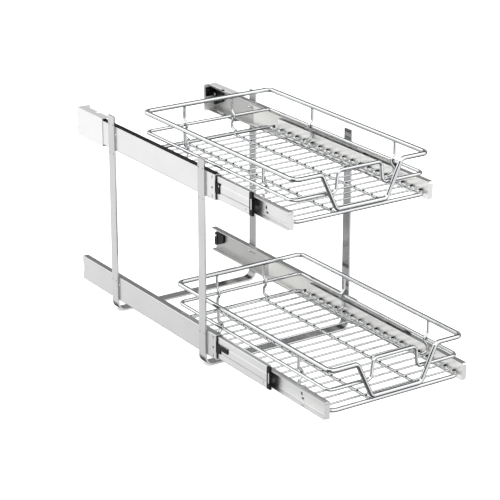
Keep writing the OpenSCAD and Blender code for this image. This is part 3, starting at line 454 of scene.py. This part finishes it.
# %% [markdown]
# ## Where the beads sit
#
# Every cross wire is welded to both sides of the floor loop and to the two long rods, and every side
# upright to the top and the middle rail. Two flat dark beads fill two slots in each inner slide
# member, as painted shade in the slots. The places come from the boxes of the rods themselves, so
# the beads follow when a rod moves. All beads of a basket are one mesh, which rides on the basket.

# %% Sizes and places of the beads
WIRE_COUNT = 19          # cross wires of a basket
POST_WIRES = (3, 13)     # the cross wires under the side uprights, counted from 0
WOBBLE = 0.5             # mm that a bead may sit before or behind its wire
# half sizes in mm, across the basket, along it and up; a pair is the range of a random one
LOOP_BEAD = (3.0, (4.4, 5.6), 2.1)
ROD_BEAD = ((2.3, 2.8), (3.3, 4.0), 2.0)
TOP_RAIL_BEAD = (2.9, 3.3, 1.0)
MIDDLE_RAIL_BEAD = (0.9, 3.2, 2.0)
# the middle of a bead in mm: in from the outermost side of its rod, and above the level that is named
LOOP_INSET, LOOP_LIFT = 2.6, 0.1                # top of the floor loop
ROD_INSET, ROD_LIFT = 2.5, 0.1                  # underside of the cross wires
TOP_RAIL_INSET, TOP_RAIL_LIFT = 4.0, 0.2        # upper ends of the uprights
MIDDLE_RAIL_INSET, MIDDLE_RAIL_LIFT = 6.0, 6.0  # underside of the middle rail
# slot beads of painted shade, in mm: behind the slide's front, over its middle, half length and half height
SLOT_SHADE_BEADS = [(74.6, 0.5, 3.2, 4.2), (71.6, -7.0, 4.6, 2.6)]
WEB_HALF = 0.6 * MM      # half the thickness of the slide member's back, which a slot bead fills


def draw_sizes(sizes, chance):
    drawn = [chance.uniform(*size) if isinstance(size, tuple) else size for size in sizes]
    return [size * MM for size in drawn]


print("a basket has", WIRE_COUNT * 4 + len(POST_WIRES) * 4 + len(SLOT_SHADE_BEADS) * 2, "beads")

# %% [markdown]
# ## Making the beads
#
# A loop walks along the cross wires from the front to the rear, and a second one visits the
# uprights and the slots on both sides.

# %% Weld beads and painted shade
def weld_and_shade_beads(tier, seed):
    chance = random.Random(seed)
    wires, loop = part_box(tier + "_cross_wires"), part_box(tier + "_floor_loop")
    rods, top_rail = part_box(tier + "_long_rods"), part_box(tier + "_top_rail")
    middle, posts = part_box(tier + "_middle_rail"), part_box(tier + "_uprights")
    wire_r = (wires[1].z - wires[0].z) / 2
    first, last = wires[0].y + wire_r, wires[1].y - wire_r
    pitch = (last - first) / (WIRE_COUNT - 1)
    loop_x, loop_z = loop[1].x - LOOP_INSET * MM, loop[1].z + LOOP_LIFT * MM
    rod_x, rod_z = rods[1].x - ROD_INSET * MM, wires[0].z + ROD_LIFT * MM
    top_x, top_z = top_rail[1].x - TOP_RAIL_INSET * MM, posts[1].z + TOP_RAIL_LIFT * MM
    middle_x, middle_z = middle[1].x - MIDDLE_RAIL_INSET * MM, middle[0].z + MIDDLE_RAIL_LIFT * MM
    shape = bmesh.new()
    for i in range(WIRE_COUNT):
        y = first + i * pitch
        for side in (-1, 1):
            wobble = chance.uniform(-WOBBLE, WOBBLE) * MM
            add_bead(shape, (side * loop_x, y + wobble, loop_z), draw_sizes(LOOP_BEAD, chance), chance)
            add_bead(shape, (side * rod_x, y + wobble, rod_z), draw_sizes(ROD_BEAD, chance), chance)
    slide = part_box(tier + "_right_inner_member")
    web_x, slide_z = slide[0].x + WEB_HALF, (slide[0].z + slide[1].z) / 2
    for side in (-1, 1):
        for i in POST_WIRES:
            y = first + i * pitch
            add_bead(shape, (side * top_x, y, top_z), draw_sizes(TOP_RAIL_BEAD, chance), chance)
            add_bead(shape, (side * middle_x, y, middle_z), draw_sizes(MIDDLE_RAIL_BEAD, chance), chance)
        # painted shade: two flat dark beads fill the slots of each inner slide member
        for dy, dz, half_y, half_z in SLOT_SHADE_BEADS:
            add_bead(shape, (side * web_x, slide[0].y + dy * MM, slide_z + dz * MM),
                     (WEB_HALF, half_y * MM, half_z * MM), chance)
    mesh = bpy.data.meshes.new(tier + "_weld_and_shade_beads")
    shape.to_mesh(mesh)
    shape.free()
    for face in mesh.polygons:
        face.use_smooth = True
    beads = bpy.data.objects.new(tier + "_weld_and_shade_beads", mesh)
    bpy.context.collection.objects.link(beads)
    mesh.materials.append(weld_and_shade_finish)
    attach(beads, tier + "_basket")
    return beads


for tier, seed in (("upper", 5), ("lower", 9)):
    beads = weld_and_shade_beads(tier, seed)
    print(beads.name, "has", len(beads.data.polygons), "faces")

# %% [markdown]
# ## Soft edges
#
# No real edge is razor sharp: a shear and a plating bath leave a few tenths of a millimetre of
# rounding on the straps and less on the thin sheet, and moulded plastic has a small radius too.
# That is what catches a thin line of light along each edge. A bevel modifier gives it without
# touching the CAD mesh. It works only on edges sharper than 40 degrees, so bends and ball tracks
# stay as they are.

# %% Edge rounding
ROUNDING_BY_ENDING = {
    "_frame": 0.4 * MM,
    "fixed_rail": 0.15 * MM, "rear_sleeve": 0.15 * MM, "mid_member": 0.15 * MM,
    "inner_member": 0.15 * MM, "bumper": 0.15 * MM, "damper": 0.15 * MM,
}
SHARP_EDGE = math.radians(40)
EDGE_STEPS = 2
rounded = 0
for name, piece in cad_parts.items():
    for ending, width in ROUNDING_BY_ENDING.items():
        if name.endswith(ending):
            bevel = piece.modifiers.new("edge_rounding", "BEVEL")
            bevel.width = width
            bevel.segments = EDGE_STEPS
            bevel.limit_method = "ANGLE"
            bevel.angle_limit = SHARP_EDGE
            rounded += 1
print("rounded the edges of", rounded, "pieces")

# %% [markdown]
# ## A plain studio
#
# A mirror shows only what stands round it, so chrome is lit by its surroundings. The photograph is
# cut out on white, and the room that the metal mirrors isn't the room that the camera sees. Here
# too the two are set apart by the kind of ray: the camera and matt surfaces see plain white, while
# mirrored rays see a studio with bright walls, a bright ceiling, a darker floor and a dark corner
# behind the object. A round rod then shows a bright middle between two darker lines, and upward
# faces turn grey. A picture of a real studio would do as well, but a few steps of brightness are
# easier to read and to change. Each pair below is a height, from -1 straight down to 1 straight up,
# and the brightness there.

# %% Brightness over height
WALLS = [(-1.0, 0.06), (-0.8, 0.08), (-0.66, 0.16), (-0.53, 0.34), (-0.43, 1.0), (-0.37, 1.4),
         (-0.18, 1.4), (-0.05, 0.9), (0.0, 0.8), (0.06, 0.9), (0.2, 1.7), (0.6, 2.0), (0.88, 1.6),
         (1.0, 0.9)]
DARK_CORNER = [(-1.0, 0.06), (-0.6, 0.04), (-0.3, 0.05), (-0.12, 0.20), (0.12, 0.20), (0.25, 0.36),
               (0.33, 0.46), (0.42, 0.40), (0.53, 0.12), (0.75, 0.06), (1.0, 0.4)]


def brightness_over_height(tree, levels, height):
    half_height = add(tree, "ShaderNodeMapRange", {"From Min": -1.0, "From Max": 1.0},
                      {"Value": height})
    ramp = add(tree, "ShaderNodeValToRGB", None, {0: half_height.outputs[0]})
    steps = ramp.color_ramp.elements
    for index, (spot, brightness) in enumerate(levels):
        step = steps[index] if index < 2 else steps.new(1.0)
        step.position = (spot + 1) / 2
        step.color = (brightness, brightness, brightness, 1)
    return ramp.outputs[0]


print("the studio has", len(WALLS), "steps on its walls and", len(DARK_CORNER), "in its dark corner")

# %% [markdown]
# ## Compass directions and cards
#
# The corner and two cards stand in one compass direction each. A photographer puts a black or a grey
# card beside shiny metal to draw a line in it: the black card here darkens the front bends of the
# rails, and the grey one keeps the right-hand sides from going black when they are seen from the
# front right. Whether a ray goes towards a card is a question of angle, so a mask compares its
# level direction with the card's own, from wide, where the card begins, to narrow, where it is full.

# %% Compass masks
# heading, wide and narrow, in degrees
CORNER = (40, 64, 46)
# heading, wide and narrow, in degrees, then lowest height, highest height and brightness
CARDS = [(198, 38, 20, -0.5, 0.5, 0.04), (56, 26, 14, -0.52, -0.18, 0.5)]
CARD_BLUR = 0.05  # height over which a card's upper or lower edge fades, on each side of it

world = bpy.data.worlds.new("light_tent")
world.use_nodes = True
sky = world.node_tree
sky.nodes.clear()
direction = add(sky, "ShaderNodeTexCoord")
height = add(sky, "ShaderNodeSeparateXYZ", None, {0: direction.outputs["Generated"]}).outputs[2]
sideways = add(sky, "ShaderNodeVectorMath", {"operation": "MULTIPLY", 1: (1.0, 1.0, 0.0)},
               {0: direction.outputs["Generated"]})
heading = add(sky, "ShaderNodeVectorMath", {"operation": "NORMALIZE"}, {0: sideways.outputs[0]})


def near_heading(degrees, wide, narrow):
    toward = (math.cos(math.radians(degrees)), math.sin(math.radians(degrees)), 0.0)
    along = add(sky, "ShaderNodeVectorMath", {"operation": "DOT_PRODUCT", 1: toward},
                {0: heading.outputs[0]})
    limits = {"From Min": math.cos(math.radians(wide)), "From Max": math.cos(math.radians(narrow))}
    return add(sky, "ShaderNodeMapRange", {"interpolation_type": "SMOOTHSTEP", **limits},
               {"Value": along.outputs["Value"]}).outputs[0]


def between_heights(low, high):
    off = add(sky, "ShaderNodeMath", {"operation": "SUBTRACT", 1: (low + high) / 2}, {0: height})
    far = add(sky, "ShaderNodeMath", {"operation": "ABSOLUTE"}, {0: off.outputs[0]})
    edges = {"From Min": (high - low) / 2 + CARD_BLUR, "From Max": (high - low) / 2 - CARD_BLUR}
    return add(sky, "ShaderNodeMapRange", edges, {"Value": far.outputs[0]}).outputs[0]


print("the corner lies at", CORNER[0], "degrees, the cards at", *(card[0] for card in CARDS))

# %% [markdown]
# ## The two rooms
#
# The studio is built up like a painting: walls first, the corner over them, then each card over what
# is there. The last mix sends mirrored rays to the studio and all others to plain white.

# %% World
walls = brightness_over_height(sky, WALLS, height)
behind = brightness_over_height(sky, DARK_CORNER, height)
studio = add(sky, "ShaderNodeMix", {"data_type": "RGBA"}, {0: near_heading(*CORNER), 6: walls, 7: behind})
for degrees, wide, narrow, low, high, brightness in CARDS:
    card = add(sky, "ShaderNodeMath", {"operation": "MULTIPLY"},
               {0: near_heading(degrees, wide, narrow), 1: between_heights(low, high)})
    studio = add(sky, "ShaderNodeMix", {"data_type": "RGBA", 7: (brightness, brightness, brightness, 1)},
                 {0: card.outputs[0], 6: studio.outputs[2]})
path = add(sky, "ShaderNodeLightPath")
shown = add(sky, "ShaderNodeMix", {"data_type": "RGBA", 6: (1.0, 1.0, 1.0, 1)},
            {0: path.outputs["Is Glossy Ray"], 7: studio.outputs[2]})
dome = add(sky, "ShaderNodeBackground", {"Strength": 1.0}, {0: shown.outputs[2]})
add(sky, "ShaderNodeOutputWorld", None, {0: dome.outputs[0]})
bpy.context.scene.world = world
print("the world has", len(sky.nodes), "nodes")

# %% [markdown]
# ## A light table under the object
#
# Product photographs on pure white are often taken on a light table: a sheet of opal plastic, lit
# from below, whose glow washes out most of the shadow. A plain white floor would leave a grey pool
# under the straps. So the floor is matt and near white with a glow of its own, and clouds of 400 mm
# keep it from being one flat colour. The metal doesn't mirror it, because the studio above already
# holds a floor for mirrored rays.

# %% Floor
FLOOR_HALF = 12.0


def opal_light_table():
    material, tree = new_material("opal_light_table")
    cloud_width = 400 * MM
    place = add(tree, "ShaderNodeTexCoord")
    cloud = add(tree, "ShaderNodeTexNoise", {"Scale": 1 / cloud_width, "Detail": 2.0},
                {"Vector": place.outputs["Object"]})
    colour = add(tree, "ShaderNodeMix", {"data_type": "RGBA", 6: linear("#f8f8f8"), 7: linear("#fafafa")},
                 {0: cloud.outputs["Fac"]})
    matt = add(tree, "ShaderNodeBsdfDiffuse", None, {0: colour.outputs[2]})
    glow = add(tree, "ShaderNodeEmission", {"Strength": 0.45}, {0: colour.outputs[2]})
    table = add(tree, "ShaderNodeAddShader", None, {0: matt.outputs[0], 1: glow.outputs[0]})
    add(tree, "ShaderNodeOutputMaterial", None, {"Surface": table.outputs[0]})
    return material


floor_mesh = bpy.data.meshes.new("studio_floor")
corners = [(-1, -1), (1, -1), (1, 1), (-1, 1)]
floor_mesh.from_pydata([(x * FLOOR_HALF, y * FLOOR_HALF, 0) for x, y in corners], [], [(0, 1, 2, 3)])
floor = bpy.data.objects.new("studio_floor", floor_mesh)
bpy.context.collection.objects.link(floor)
floor.data.materials.append(opal_light_table())
floor.visible_glossy = False
print("floor:", 2 * FLOOR_HALF, "m square")

# %% [markdown]
# ## One soft lamp
#
# The white surroundings already light the black plastic from all sides. One large lamp overhead adds
# a direction, so that upward faces are a little brighter. It is as wide as it hangs high, which
# keeps every shadow edge soft, and mirrored rays don't see it, so it draws no square in the chrome.

# %% Light
LAMP_PLACE = Vector((0.2, -0.2, 2.4))
LAMP_TARGET = Vector((0, -0.1, 0))
LAMP_SIZE, LAMP_POWER = 2.4, 45  # m and W

softbox = bpy.data.lights.new("overhead_softbox", "AREA")
softbox.shape = "SQUARE"
softbox.size = LAMP_SIZE
softbox.energy = LAMP_POWER
lamp = bpy.data.objects.new("overhead_softbox", softbox)
lamp.location = LAMP_PLACE
lamp.rotation_euler = (LAMP_TARGET - LAMP_PLACE).to_track_quat("-Z", "Y").to_euler()
lamp.visible_glossy = False
bpy.context.collection.objects.link(lamp)
print("light:", lamp.name, LAMP_POWER, "W")

# %% [markdown]
# ## The camera
#
# The photograph was taken from the front left and from above, with a long lens, so the posts look
# almost parallel. The numbers come from fitting a camera to the object's straight edges: 33.5
# degrees round from the front, 20.3 degrees down, from about 3.5 m away. The colours are shown
# without a film look, so that white stays white.

# %% Camera
IMAGE_WIDTH = 500        # pixels
FOCAL_LENGTH = 1957.52   # pixels
SENSOR_WIDTH = 36        # mm
CAMERA_PLACE = (-1.76262, -2.72888, 1.33444)
LOOKS_DOWN, STANDS_LEFT = 20.32, 33.51  # degrees

camera_data = bpy.data.cameras.new("camera")
camera_data.sensor_width = SENSOR_WIDTH
camera_data.lens = FOCAL_LENGTH / IMAGE_WIDTH * SENSOR_WIDTH
camera = bpy.data.objects.new("camera", camera_data)
camera.location = CAMERA_PLACE
camera.rotation_euler = (math.radians(90 - LOOKS_DOWN), 0, math.radians(-STANDS_LEFT))
bpy.context.collection.objects.link(camera)
bpy.context.scene.camera = camera
bpy.context.scene.view_settings.view_transform = "Standard"
bpy.context.scene.view_settings.look = "None"
print("lens:", round(camera_data.lens, 1), "mm")
